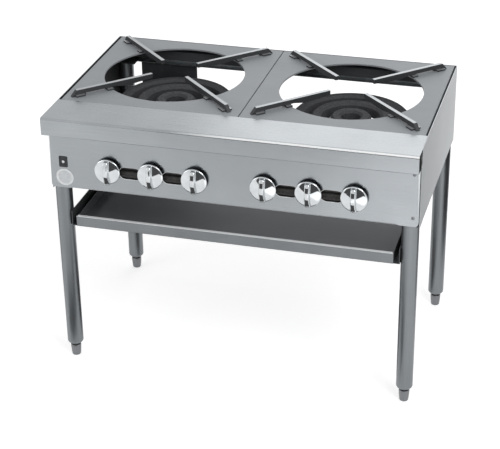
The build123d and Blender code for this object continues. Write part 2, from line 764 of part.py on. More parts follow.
with BuildPart() as pilot_lines:
    outer_edge = ring_radii["outer"] + ring_width / 2
    for sign in sides.values():
        pilot_x = sign * (deck_centre_x + pilot_x_offset)
        tip_y = deck_centre_y - outer_edge - pilot_gap
        tube_z = knob_z + pilot_level
        tip_z = ring_top - pilot_tip_length
        pilot_points = [
            (pilot_x, supply_y, feed_z + supply_radius),
            (pilot_x, supply_y, tube_z),
            (pilot_x, tip_y, tube_z),
            (pilot_x, tip_y, tip_z),
        ]
        bent_pipe(pilot_points, [pilot_bend] * 2, pilot_radius, 0)
        rod((pilot_x, tip_y, tip_z), (0, 0, 1), pilot_tip_radius, pilot_tip_length)
keep("pilot_lines", pilot_lines.part)

# ---------------------------------------------------------------- drip tray and runners
with BuildPart() as drip_tray:
    wall_z = (tray_bottom, tray_bottom + tray_wall_height)
    block((-tray_half, tray_half), (tray_front_y, tray_rear_y), wall_z)
    pan_x = tray_half - tray_sheet
    pan_y = (tray_front_y + tray_sheet, tray_rear_y - tray_sheet)
    block((-pan_x, pan_x), pan_y, (tray_bottom + tray_sheet, wall_z[1]), Mode.SUBTRACT)
    lip_x = leg_inner_x - tray_lip_gap
    lip_z = (tray_bottom, tray_bottom + tray_lip_height)
    block((-lip_x, lip_x), (tray_front_y, tray_front_y + tray_sheet), lip_z)
    hem_y = (tray_front_y, tray_front_y + tray_hem)
    block((-pan_x, pan_x), hem_y, (lip_z[1] - tray_sheet, lip_z[1]))
keep("drip_tray", drip_tray.part)

with BuildPart() as tray_runners:
    runner_y = (tray_front_y + runner_setback, rear_leg_y)
    runner_x = (leg_inner_x - runner_ledge, leg_inner_x)
    block(runner_x, runner_y, (tray_bottom - rail_sheet, tray_bottom))
    web_x = (leg_inner_x - rail_sheet, leg_inner_x)
    block(web_x, runner_y, (tray_bottom - rail_sheet, tray_bottom - rail_sheet + runner_web))
    mirror(about=Plane.YZ)
keep("tray_runners", tray_runners.part)

# ---------------------------------------------------------------- small trim
with BuildPart() as panel_screws:
    for z in screw_zs:
        rod((screw_x, panel_y, z), (0, -1, 0), screw_head_radius, screw_head)
        rod((screw_x, panel_y, z), (0, 1, 0), screw_radius, screw_length)
keep("panel_screws", panel_screws.part)

# A plain round disc and a plain small plate lie on the panel's left end.
with BuildPart() as blank_plates:
    rod((disc_x, panel_y, panel_bottom + disc_above_panel_edge), (0, -1, 0), disc_radius,
        badge_thickness)
    plate_x_span = (plate_x - plate_width / 2, plate_x + plate_width / 2)
    plate_z = panel_bottom + plate_above_panel_edge
    plate_z_span = (plate_z - plate_height / 2, plate_z + plate_height / 2)
    block(plate_x_span, (panel_y - badge_thickness, panel_y), plate_z_span)
keep("blank_plates", blank_plates.part)
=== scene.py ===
# %% [markdown]
# # A two-section stock pot range
# A stock pot range is a low gas stove for heavy pots. This lesson dresses a finished set of parts:
# the frame below brings every part at its real size, and each cell adds a finish or a piece.
# All lengths are in metres, the front faces -Y and the floor is at z = 0.

# %% Load the frame
import json
import math

import bpy
from mathutils import Matrix, Vector


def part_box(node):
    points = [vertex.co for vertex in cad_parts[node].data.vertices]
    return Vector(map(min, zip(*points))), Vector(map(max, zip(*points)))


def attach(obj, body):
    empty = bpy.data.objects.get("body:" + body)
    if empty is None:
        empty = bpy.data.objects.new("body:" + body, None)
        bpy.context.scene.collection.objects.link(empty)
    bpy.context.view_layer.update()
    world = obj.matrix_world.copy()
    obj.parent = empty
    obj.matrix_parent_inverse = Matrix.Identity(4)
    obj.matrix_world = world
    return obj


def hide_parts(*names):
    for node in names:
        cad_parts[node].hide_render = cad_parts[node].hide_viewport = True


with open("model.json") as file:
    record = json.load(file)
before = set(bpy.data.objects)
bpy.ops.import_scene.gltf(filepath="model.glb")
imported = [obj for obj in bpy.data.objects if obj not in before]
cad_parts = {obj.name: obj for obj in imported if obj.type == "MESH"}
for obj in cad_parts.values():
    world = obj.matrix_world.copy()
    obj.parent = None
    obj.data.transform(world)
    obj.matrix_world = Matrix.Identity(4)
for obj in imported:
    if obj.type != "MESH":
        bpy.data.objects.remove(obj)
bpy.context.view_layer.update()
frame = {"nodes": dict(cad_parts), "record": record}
nodes = frame["nodes"]
millimetre = 0.001
print("parts in the frame:", len(nodes))

# %% [markdown]
# ## Camera
# A catalogue picture of such a range is taken from a little above and to the right, with a long
# lens. A constraint could aim it but would lose its roll. So yaw, pitch and roll turn it, and the
# matrix columns are its right, its up and its back.

# %% Camera
camera_place = Vector((0.930, -3.3628, 2.1553))
camera_yaw = math.radians(-15.77)
camera_pitch = math.radians(27.71)
camera_roll = math.radians(-0.82)
image_width = 500
focal_pixels = 1526.1
sensor_width = 36.0

forward = Vector((math.sin(camera_yaw) * math.cos(camera_pitch),
                  math.cos(camera_yaw) * math.cos(camera_pitch),
                  -math.sin(camera_pitch)))
level_right = Vector((math.cos(camera_yaw), -math.sin(camera_yaw), 0))
level_up = level_right.cross(forward)
right = level_right * math.cos(camera_roll) + level_up * math.sin(camera_roll)
up = level_up * math.cos(camera_roll) - level_right * math.sin(camera_roll)

camera_data = bpy.data.cameras.new("catalogue_camera")
camera_data.sensor_fit = "HORIZONTAL"
camera_data.sensor_width = sensor_width
camera_data.lens = focal_pixels / image_width * sensor_width
camera = bpy.data.objects.new("catalogue_camera", camera_data)
bpy.context.scene.collection.objects.link(camera)
turn = Matrix((right, up, -forward)).transposed().to_4x4()
camera.matrix_world = Matrix.Translation(camera_place) @ turn
bpy.context.scene.camera = camera
print("lens in mm:", round(camera_data.lens, 1))

# %% [markdown]
# ## Colours and nodes
# Colours are written as sRGB hex, as a paint chart gives them, and one function turns them to the
# linear values that the shader needs. One more function adds a node with its settings and links.


# %% Helpers for materials
def linear(hex_colour):
    """Turn an sRGB hex colour into linear red, green, blue and alpha."""
    def straightened(value):
        return value / 12.92 if value <= 0.04045 else ((value + 0.055) / 1.055) ** 2.4
    channels = [int(hex_colour[start:start + 2], 16) / 255 for start in (1, 3, 5)]
    return [straightened(value) for value in channels] + [1.0]


def add_node(tree, kind, settings=None, links=None):
    """Add a node, set its properties and socket values, and link its inputs."""
    new = tree.nodes.new(kind)
    for name, value in (settings or {}).items():
        if isinstance(name, int) or name in new.inputs:
            new.inputs[name].default_value = value
        else:
            setattr(new, name, value)
    for name, source in (links or {}).items():
        tree.links.new(source, new.inputs[name])
    return new


def new_material(name):
    """A material with an empty tree and a connected shader."""
    material = bpy.data.materials.new(name)
    material.use_nodes = True
    material.node_tree.nodes.clear()
    shader = add_node(material.node_tree, "ShaderNodeBsdfPrincipled")
    add_node(material.node_tree, "ShaderNodeOutputMaterial", links={"Surface": shader.outputs[0]})
    return material, material.node_tree, shader


# %% [markdown]
# ## Satin stainless sheet
# The panel and the ledge are 304 stainless sheet. The mill rolls it bright and a belt then grinds
# fine lines along its length, which spread every reflection across the lines. An image of real
# lines would blur up close, so a stretched noise draws them, 2 mm apart, because true ones of
# 0.1 mm would not show. A second, cloudy noise is the unevenness of a large sheet.

# %% Ground sheet and tube
cloud_width = 120 * millimetre           # a paler or darker patch on a large sheet
cloud_share = 0.45                       # of the colour, the rest is lines
line_relief = 0.3 * millimetre


def ground_metal(name, dark, light, roughness, grain, metallic=1.0):
    """Satin metal whose grain is given as line lengths in metres along x, y and z."""
    material, tree, shader = new_material(name)
    place = add_node(tree, "ShaderNodeTexCoord")
    stretch = add_node(tree, "ShaderNodeMapping", {"Scale": [1 / length for length in grain]},
                       {"Vector": place.outputs["Object"]})
    lines = add_node(tree, "ShaderNodeTexNoise", {"Scale": 1.0, "Detail": 3.0, "Roughness": 0.6},
                     {"Vector": stretch.outputs["Vector"]})
    clouds = add_node(tree, "ShaderNodeTexNoise", {"Scale": 1 / cloud_width, "Detail": 2.0},
                      {"Vector": place.outputs["Object"]})
    blend = add_node(tree, "ShaderNodeMix", {"data_type": "FLOAT", "Factor": cloud_share},
                     {"A": lines.outputs["Fac"], "B": clouds.outputs["Fac"]})
    gloss = add_node(tree, "ShaderNodeMapRange",
                     {"To Min": roughness - 0.05, "To Max": roughness + 0.07},
                     {"Value": lines.outputs["Fac"]})
    relief = add_node(tree, "ShaderNodeBump", {"Strength": 0.08, "Distance": line_relief},
                      {"Height": lines.outputs["Fac"]})
    spread = add_node(tree, "ShaderNodeMapRange", {"From Min": 0.3, "From Max": 0.7},
                      {"Value": blend.outputs[0]})
    tint = add_node(tree, "ShaderNodeMix",
                    {"data_type": "RGBA", 6: linear(dark), 7: linear(light)},
                    {0: spread.outputs["Result"]})
    tree.links.new(tint.outputs[2], shader.inputs["Base Color"])
    tree.links.new(gloss.outputs["Result"], shader.inputs["Roughness"])
    tree.links.new(relief.outputs["Normal"], shader.inputs["Normal"])
    shader.inputs["Metallic"].default_value = metallic
    return material


# %% Stainless finishes
line_length, line_gap = 90 * millimetre, 2.2 * millimetre
grain_across = (line_length, line_gap, line_gap)
grain_deep = (line_gap, line_length, line_gap)
grain_upright = (line_gap, line_gap, line_length)
# Belt-ground sheet: a soft grey shine that is drawn out across the lines.
panel_steel = ground_metal("satin_stainless_panel", "#93979a", "#a1a5a8", 0.24, grain_across)
ledge_steel = ground_metal("satin_stainless_ledge", "#94989b", "#a2a6a9", 0.26, grain_across)
# The ledge's front face is wiped most, so it is the smoothest and a little paler.
drop_steel = ground_metal("satin_stainless_drop", "#979b9e", "#a5a9ac", 0.22, grain_across)
# The sides and the rear had a coarser belt, so they shine less and look even.
side_steel = ground_metal("satin_stainless_side", "#9da1a4", "#a9adb0", 0.34, grain_deep)
rear_steel = ground_metal("satin_stainless_rear", "#9fa3a6", "#abafb2", 0.34, grain_across)
# Tube pulled through a die: darker, with upright streaks that follow the drawing.
leg_steel = ground_metal("drawn_stainless_tube", "#787c7f", "#868a8d", 0.36, grain_upright)
# Zinc-plated turned steel: a dull grey with a small, soft highlight.
foot_steel = ground_metal("plated_foot_steel", "#6f7173", "#85878a", 0.3, grain_upright)
# A folded edge painted near white as the highlight that light draws along a bend, from every side.
painted_bend_highlight = ground_metal("sheet_bend_painted_highlight", "#e2e6e8", "#f2f4f5", 0.45, grain_across, 0.2)
print("stainless finishes up to", painted_bend_highlight.name)

# %% [markdown]
# ## The ledge's painted highlight
# The ledge's front bend is painted bright as the highlight that light lays along it, and the line
# fades out to the left. Two finishes side by side would start it with a step, so one more
# painted-highlight finish blends into the plain sheet by the place along the ledge.

# %% Nose bend
# Painted highlight on the nose bend: it starts at the first place along x and is full at the
# second.
highlight_start, highlight_end = -130 * millimetre, 30 * millimetre
painted_nose_highlight = ground_metal("ledge_nose_painted_highlight", "#f0f2f3", "#fbfcfc", 0.45, grain_across, 0.2)
nose_tree = painted_nose_highlight.node_tree
nose_shader = next(node for node in nose_tree.nodes if node.type == "BSDF_PRINCIPLED")
nose_place = add_node(nose_tree, "ShaderNodeTexCoord")
nose_along = add_node(nose_tree, "ShaderNodeSeparateXYZ",
                      links={"Vector": nose_place.outputs["Object"]})
nose_highlight_fade = add_node(nose_tree, "ShaderNodeMapRange", {"From Min": highlight_start, "From Max": highlight_end},
                    {"Value": nose_along.outputs["X"]})
nose_tint = add_node(nose_tree, "ShaderNodeMix", {"data_type": "RGBA", 6: linear("#999da0")},
                     {0: nose_highlight_fade.outputs["Result"],
                      7: nose_shader.inputs["Base Color"].links[0].from_socket})
nose_tree.links.new(nose_tint.outputs[2], nose_shader.inputs["Base Color"])
nose_metal = add_node(nose_tree, "ShaderNodeMapRange", {"To Min": 1.0, "To Max": 0.2},
                      {"Value": nose_highlight_fade.outputs["Result"]})
nose_tree.links.new(nose_metal.outputs["Result"], nose_shader.inputs["Metallic"])
print("the nose highlight is painted from x =", highlight_start)

# %% [markdown]
# ## Duller steels
# The deck plates, the tray and the frame are plain coated steel. A dull coating scatters most of
# the light, so they stay an even grey where the ledge beside them shines. Rolled sheet has faint
# lines too, so the ground metal above serves again, rougher and less metallic.

# %% Coated steels
# Aluminised plate: pale, even and chalky.
deck_steel = ground_metal("aluminised_deck_plate", "#92969a", "#9fa3a6", 0.58, grain_across, 0.2)
# Dull sheet, and its front lip, painted paler than the same sheet as a lit face.
tray_steel = ground_metal("dull_tray_steel", "#606366", "#6e7174", 0.5, grain_across, 0.6)
lit_lip_steel = ground_metal("tray_lip_painted_light", "#7c7f82", "#8a8e91", 0.42, grain_across, 0.8)
# Frame rails: painted dark as the shade under the deck, which hides them there.
frame_steel = ground_metal("frame_steel_painted_shade", "#4c4e50", "#5a5c5e", 0.5, grain_across, 0.6)
# Inner faces: painted near black as the shade inside the range, with little shine.
inner_shade_steel = ground_metal("inner_face_painted_shade", "#2b2c2d", "#3a3b3c", 0.65, grain_across, 0.3)
print("coated steels up to", inner_shade_steel.name)

# %% [markdown]
# ## Cast iron, pipe, brass and paint
# Sand casting leaves a grain of about 3 mm on the burners. Gas pipe is black iron with a thin
# scale, valve bodies are dull brass, and the regulator is a painted casting. Displaced meshes would
# cost many faces, so each is one noise as coarse as its grit, in colour and in relief.


# %% Rough metals
def rough_metal(name, dark, light, roughness, grit, metallic, relief_strength=0.35):
    """Metal with a grain as coarse as the sand or the paint that made it, in metres."""
    material, tree, shader = new_material(name)
    place = add_node(tree, "ShaderNodeTexCoord")
    grains = add_node(tree, "ShaderNodeTexNoise", {"Scale": 1 / grit, "Detail": 4.0},
                      {"Vector": place.outputs["Object"]})
    relief = add_node(tree, "ShaderNodeBump",
                      {"Strength": relief_strength, "Distance": 0.6 * millimetre},
                      {"Height": grains.outputs["Fac"]})
    spread = add_node(tree, "ShaderNodeMapRange", {"From Min": 0.35, "From Max": 0.7},
                      {"Value": grains.outputs["Fac"]})
    tint = add_node(tree, "ShaderNodeMix",
                    {"data_type": "RGBA", 6: linear(dark), 7: linear(light)},
                    {0: spread.outputs["Result"]})
    tree.links.new(tint.outputs[2], shader.inputs["Base Color"])
    tree.links.new(relief.outputs["Normal"], shader.inputs["Normal"])
    shader.inputs["Roughness"].default_value = roughness
    shader.inputs["Metallic"].default_value = metallic
    return material


# %% Iron, brass, paint and chrome
# Sand-cast iron: a matt, gritty black that shows its form only at the edges.
burner_iron = rough_metal("sand_cast_iron", "#393a3c", "#505154", 0.75, 0.003, 0.2)
# Black pipe with mill scale: a brownish black with a dull shine.
pipe_iron = rough_metal("black_gas_pipe", "#2b2a2a", "#434140", 0.42, 0.004, 0.6)
# Painted die casting: an even dark grey with a slight orange peel.
regulator_paint = rough_metal("painted_die_casting", "#2f3133", "#3d3f41", 0.5, 0.003, 0.2)
# Dull brass and soft aluminium: warm and cool spots of metal behind the panel.
valve_brass = rough_metal("dull_valve_brass", "#7a6a45", "#94825a", 0.4, 0.004, 1.0)
pilot_metal = rough_metal("soft_aluminium_tube", "#a5a6a7", "#b8b9ba", 0.35, 0.006, 1.0, 0.1)
# Enamel on the two blank plates: a pale rim, a greyer field and a dark plate.
plate_pale = rough_metal("pale_blank_disc", "#e6e9eb", "#f2f4f5", 0.45, 0.008, 0.0, 0.1)
plate_grey = rough_metal("grey_disc_field", "#cacdd0", "#d8dbdd", 0.5, 0.006, 0.2, 0.1)
plate_dark = rough_metal("dark_blank_plate", "#202224", "#34373a", 0.45, 0.006, 0.2, 0.15)
# A knob's unplated back is painted near black as shade, and its plated front is a mirror without
# grain.
knob_back_shade = rough_metal("knob_back_painted_shade", "#1f2022", "#2c2e30", 0.7, 0.003, 0.3)
knob_chrome = rough_metal("bright_chrome_plate", "#c4c7c9", "#cfd2d4", 0.06, 0.02, 1.0, 0.0)
print("cast and plated finishes up to", knob_chrome.name)

# %% [markdown]
# ## Cast bars, worn and lit on top
# Pots slide over the bars all day, so their top faces are worn bright, and they are also painted
# brighter as the light that falls on them; the sides keep the dark skin of the casting, painted
# darker as shade.
# The pattern could be painted by hand, but the surface normal already tells what faces up, and a
# noise breaks the edge between bright and dark.

# %% Where the bars are worn and lit
cast_bar_light_and_wear, bar_tree, bar_shader = new_material("cast_bar_painted_light_and_wear")
bar_grit_size = 4 * millimetre
bar_shape = add_node(bar_tree, "ShaderNodeNewGeometry")
bar_up = add_node(bar_tree, "ShaderNodeSeparateXYZ", links={"Vector": bar_shape.outputs["Normal"]})
bar_place = add_node(bar_tree, "ShaderNodeTexCoord")
bar_grit = add_node(bar_tree, "ShaderNodeTexNoise", {"Scale": 1 / bar_grit_size, "Detail": 4.0},
                    {"Vector": bar_place.outputs["Object"]})
bar_ragged = add_node(bar_tree, "ShaderNodeMath", {"operation": "MULTIPLY_ADD", 1: 0.3},
                      {0: bar_grit.outputs["Fac"], 2: bar_up.outputs["Z"]})
bar_lit_and_worn = add_node(bar_tree, "ShaderNodeMapRange", {"From Min": 0.95, "From Max": 1.1},
                    {"Value": bar_ragged.outputs[0]})

# %% Bar colour, polish and relief
# Painted light and shade with real wear: pale where the face points up, dark on the sides.
bar_tint = add_node(bar_tree, "ShaderNodeMix",
                    {"data_type": "RGBA", 6: linear("#46484a"), 7: linear("#aeb1b4")},
                    {0: bar_lit_and_worn.outputs["Result"]})
bar_polish = add_node(bar_tree, "ShaderNodeMapRange", {"To Min": 0.62, "To Max": 0.38},
                      {"Value": bar_lit_and_worn.outputs["Result"]})
bar_relief = add_node(bar_tree, "ShaderNodeBump", {"Strength": 0.25, "Distance": 0.5 * millimetre},
                      {"Height": bar_grit.outputs["Fac"]})
bar_tree.links.new(bar_tint.outputs[2], bar_shader.inputs["Base Color"])
bar_tree.links.new(bar_polish.outputs["Result"], bar_shader.inputs["Roughness"])
bar_tree.links.new(bar_relief.outputs["Normal"], bar_shader.inputs["Normal"])
bar_shader.inputs["Metallic"].default_value = 0.7
print("bar finish nodes:", len(bar_tree.nodes))

# %% [markdown]
# ## A finish for every part
# The record names a material slot for each part, as a parts list names a finish. Every part gets
# the finish of its slot here, and pieces shaped below replace some of the parts.

# %% Give every part its finish
slot_finishes = {
    "leg_tube": leg_steel, "foot_metal": foot_steel, "panel_steel": panel_steel,
    "ledge_steel": ledge_steel, "deck_steel": deck_steel, "bar_steel": cast_bar_light_and_wear,
    "knob_chrome": knob_chrome, "valve_brass": valve_brass, "pipe_iron": pipe_iron,
    "burner_iron": burner_iron, "regulator_metal": regulator_paint, "frame_steel": frame_steel,
    "tray_steel": tray_steel, "pilot_tube": pilot_metal, "plate_white": plate_pale,
}
node_slots = {part["node"]: part["material_slot"] for part in frame["record"]["subparts"]}
for name, node in nodes.items():
    node.data.materials.clear()
    node.data.materials.append(slot_finishes[node_slots[name]])
print("slots with a finish:", len(slot_finishes))

# %% [markdown]
# ## Shaping by hand
# Each new piece starts as a primitive or as a copy of a part, and is shaped in edit mode. An
# operator acts on all that is selected, so the first helpers leave nothing else selected.


# %% Start a piece
def fresh_start():
    """Leave nothing selected, so that an operator acts only on what comes next."""
    if bpy.context.mode != "OBJECT":
        bpy.ops.object.mode_set(mode="OBJECT")
    bpy.ops.object.select_all(action="DESELECT")


def hold(piece):
    """Select one piece alone and make it the active one."""
    fresh_start()
    piece.select_set(True)
    bpy.context.view_layer.objects.active = piece


def copy_of_part(part, name):
    """Copy a part's mesh into a new piece and merge its loose triangles into whole faces."""
    piece = bpy.data.objects.new(name, nodes[part].data.copy())
    bpy.context.scene.collection.objects.link(piece)
    hold(piece)
    bpy.ops.object.mode_set(mode="EDIT")
    bpy.ops.mesh.select_all(action="SELECT")
    bpy.ops.mesh.remove_doubles(threshold=0.002 * millimetre)
    bpy.ops.mesh.dissolve_limited(angle_limit=math.radians(0.5))
    bpy.ops.object.mode_set(mode="OBJECT")
    return piece


def box_between(name, low, high):
    """A box primitive between two corners."""
    fresh_start()
    middle_place = [(a + b) / 2 for a, b in zip(low, high)]
    size = [b - a for a, b in zip(low, high)]
    bpy.ops.mesh.primitive_cube_add(size=1, location=middle_place, scale=size)
    piece = bpy.context.object
    piece.name = name
    bpy.ops.object.transform_apply(location=True, rotation=True, scale=True)
    return piece


def cut_across(cuts):
    """Bisect the active piece at each place, across a direction, and stay in edit mode."""
    bpy.ops.object.mode_set(mode="EDIT")
    for place, direction in cuts:
        bpy.ops.mesh.select_all(action="SELECT")
        bpy.ops.mesh.bisect(plane_co=place, plane_no=direction)


# %% [markdown]
# ## Finishing a piece
# Large faces next to a small bend are shaded wrongly unless they keep their own direction, so each
# piece gets weighted normals. The frame is then told what carries the piece and what it hides.


# %% Finish a piece
def joined(pieces, name):
    """Join several meshes into one piece."""
    fresh_start()
    for piece in pieces:
        piece.select_set(True)
    bpy.context.view_layer.objects.active = pieces[0]
    bpy.ops.object.join()
    pieces[0].name = name
    return pieces[0]


def mark_faces(piece, number, wanted):
    """Give the faces that pass a test the finish with this number in the piece's list."""
    for face in piece.data.polygons:
        if wanted(face.center, face.normal):
            face.material_index = number


def set_down(piece, body, finishes, hidden=(), smooth_below=30):
    """Smooth a finished piece, dress it and tell the frame what carries it and what it hides."""
    hold(piece)
    bpy.ops.object.shade_smooth_by_angle(angle=math.radians(smooth_below))
    flat_faces = piece.modifiers.new("flat_faces", "WEIGHTED_NORMAL")
    flat_faces.keep_sharp = True
    bpy.ops.object.modifier_apply(modifier=flat_faces.name)
    numbers = [face.material_index for face in piece.data.polygons]
    piece.data.materials.clear()
    for finish in finishes:
        piece.data.materials.append(finish)
    for face, number in zip(piece.data.polygons, numbers):
        face.material_index = min(number, len(finishes) - 1)
    if hidden:
        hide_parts(*hidden)
    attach(piece, body)
    print(piece.name, "has", len(piece.data.polygons), "faces")


# %% [markdown]
# ## Landing ledge
# The ledge is one sheet bent on a folding press, with a painted highlight along its nose, a wiped
# front and painted shade inside. A small web closes each open end. The part already has its bends,
# so it is copied, cut once where the painted highlight begins, and joined with the two webs.

# %% Ledge sheet and end webs
close = 0.2 * millimetre                 # how near a point lies to a face that it is on
ledge_low, ledge_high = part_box("landing_ledge")
panel_low, panel_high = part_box("front_panel")
flange_end = 404 * millimetre            # the panel's folded flanges stop here
web_start, web_end = flange_end + millimetre, ledge_high.x - 0.3 * millimetre
web_top = ledge_high.z - 1.1 * millimetre
ledge = copy_of_part("landing_ledge", "folded_ledge")
cut_across([((highlight_start, 0, 0), (1, 0, 0))])
left_web = box_between("end_web_left", (-web_end, panel_low.y, panel_high.z),
                       (-web_start, panel_low.y + millimetre, web_top))
right_web = box_between("end_web_right", (web_start, panel_low.y, panel_high.z),
                        (web_end, panel_low.y + millimetre, web_top))
joined([ledge, left_web, right_web], ledge.name)

# %% Finishes on the ledge
nose_reach = 5 * millimetre


def on_nose(middle, normal):
    """The rounded front bend, from where the painted highlight begins."""
    return (middle.x > highlight_start and middle.y < ledge_low.y + nose_reach
            and middle.z > ledge_high.z - nose_reach and normal.z > 0.3 and normal.y < -0.35)


def inside_ledge(middle, normal):
    """The underside, the back of the drop, the end webs and the cut ends of the sheet."""
    under = normal.z < -0.5 and middle.z > ledge_low.z + 10 * millimetre
    behind = normal.y > 0.5 and middle.y < ledge_low.y + nose_reach
    web = (abs(middle.x) > flange_end and middle.y > panel_low.y - 0.1 * millimetre
           and middle.z < ledge_high.z - millimetre)
    return under or behind or web or abs(normal.x) > 0.9


mark_faces(ledge, 2, lambda middle, normal: normal.y < -0.9 and middle.y < ledge_low.y + close)
# The nose bend takes the painted highlight finish.
mark_faces(ledge, 1, on_nose)
# The underside, the back of the drop, the end webs and the cut ends are painted dark as shade.
mark_faces(ledge, 3, inside_ledge)
set_down(ledge, "range_body", [ledge_steel, painted_nose_highlight, drop_steel, inner_shade_steel],
         ["landing_ledge"])

# %% [markdown]
# ## Front panel
# The panel is folded too, at its ends and along its lower edge. A press leaves a round bend, and
# that bend draws the light line along a sheet's edge. A bevel modifier would round the holes too,
# so only the few edges where the sheet turns are bevelled, and the light line is painted on them
# near white.


# %% Helpers for edges
def start_marking(kind):
    """Drop the selection inside the piece, so that only what is marked next counts."""
    bpy.ops.object.mode_set(mode="EDIT")
    bpy.ops.mesh.select_mode(type=kind)
    bpy.ops.mesh.select_all(action="DESELECT")
    bpy.ops.object.mode_set(mode="OBJECT")


def round_edges(piece, wanted, width, steps=3):
    """Bevel the edges whose two ends pass a test."""
    start_marking("EDGE")
    points = piece.data.vertices
    for edge in piece.data.edges:
        edge.select = wanted(*(points[index].co for index in edge.vertices))
    bpy.ops.object.mode_set(mode="EDIT")
    bpy.ops.mesh.bevel(offset=width, segments=steps, affect="EDGES")
    bpy.ops.object.mode_set(mode="OBJECT")


# %% Front panel outline
near_front = panel_low.y + close
near_bottom = panel_low.z + close
panel = copy_of_part("front_panel", "pressed_front_panel")
cut_across([((-flange_end, 0, 0), (1, 0, 0)), ((flange_end, 0, 0), (1, 0, 0))])
bpy.ops.object.mode_set(mode="OBJECT")


def lower_bend(start, end):
    """The straight edge where the sheet turns in to its flange."""
    return (max(start.y, end.y) < near_front and max(start.z, end.z) < near_bottom
            and max(abs(start.x), abs(end.x)) < flange_end + close)


def lower_corner(start, end):
    """The short edge from front to back at a lower corner."""
    return (min(abs(start.x), abs(end.x)) > panel_high.x - close
            and max(start.z, end.z) < near_bottom and abs(start.y - end.y) > 0.5 * millimetre)


def upright_bend(start, end):
    """The upright edge where the sheet turns back at an end."""
    return (min(abs(start.x), abs(end.x)) > panel_high.x - close
            and max(start.y, end.y) < near_front and abs(start.z - end.z) > 40 * millimetre)


round_edges(panel, lower_bend, 3.6 * millimetre, 4)
round_edges(panel, lower_corner, 6 * millimetre, 4)
round_edges(panel, upright_bend, 4.2 * millimetre, 4)

# %% Painted highlights on the panel's bends
bend_reach = 3.8 * millimetre
mark_faces(panel, 1, lambda middle, normal: abs(normal.x) > 0.15 and -0.99 < normal.y < -0.4
           and abs(middle.x) > panel_high.x - 5 * millimetre)
mark_faces(panel, 1, lambda middle, normal: middle.y < panel_low.y + bend_reach
           and middle.z < panel_low.z + bend_reach and normal.y < -0.25 and normal.z < -0.2)

# %% [markdown]
# ## Slots in the front panel
# Between two knobs of a group the panel has a slot, and the pipe that feeds the valves shows
# through it. A punch leaves a small round edge. An edge of the sheet belongs to a slot where it
# lies on the slot's outline, which is two half circles and two straights.

# %% Round the slots
knob_boxes = [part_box(f"knob_{number}") for number in range(1, 7)]
knob_radius = (knob_boxes[0][1].x - knob_boxes[0][0].x) / 2
knob_xs = [(low.x + high.x) / 2 for low, high in knob_boxes]
knob_z = knob_boxes[0][1].z - knob_radius
slot_z = knob_z - 4 * millimetre
slot_radius = 15 * millimetre
slot_straight = 13 * millimetre          # from the slot's middle to where its round end starts
group_step = 0.12                        # closer knobs have a slot between them
slot_middles = [(a + b) / 2 for a, b in zip(knob_xs, knob_xs[1:]) if b - a < group_step]


def off_outline(point):
    """How far a point lies from the outline of the nearest slot."""
    return min(abs(math.hypot(max(abs(point.x - x) - slot_straight, 0), point.z - slot_z)
                   - slot_radius) for x in slot_middles)


def slot_edge(start, end):
    """An edge on the front outline of one of the slots."""
    return (max(start.y, end.y) < near_front
            and max(off_outline(start), off_outline(end)) < 0.1 * millimetre
            and off_outline((start + end) / 2) < 0.4 * millimetre)


round_edges(panel, slot_edge, 1.2 * millimetre, 2)
# The rounded slot edges take the painted highlight finish.
mark_faces(panel, 1, lambda middle, normal: -0.97 < normal.y < -0.2 and abs(normal.z) > 0.2
           and abs(middle.z - slot_z) < slot_radius + 2 * millimetre)

# %% Painted shade on the back of the panel
back_area = 0.0004                       # square metres, more than any face of a bend
for face in panel.data.polygons:
    if face.normal.y > 0.5 and face.area > back_area:
        face.material_index = 2
set_down(panel, "range_body", [panel_steel, painted_bend_highlight, inner_shade_steel],
         ["front_panel"])

# %% [markdown]
# ## Rear rail
# The rail is a folded strip that ties the sides together. Only its lower outer bend catches light,
# so only that edge is bevelled.

# %% Rear rail
rail_low, rail_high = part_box("rear_rail")
rail = copy_of_part("rear_rail", "folded_rear_rail")
round_edges(rail, lambda start, end: min(start.y, end.y) > rail_high.y - close
            and max(start.z, end.z) < rail_low.z + close, 3 * millimetre)
set_down(rail, "range_body", [rear_steel], ["rear_rail"])

# %% [markdown]
# ## Side panels
# A flat side would drum, so the sheet gets a flange along its lower edge, between the legs. The
# part is flat, so a box is enough to start from. The flange is extruded from a strip of its inner
# face, and the bend is bevelled.


# %% Side panels
def take_faces(piece, wanted):
    """Select the faces whose middle and normal pass a test, and stay in edit mode."""
    start_marking("FACE")
    for face in piece.data.polygons:
        face.select = wanted(face.center, face.normal)
    bpy.ops.object.mode_set(mode="EDIT")


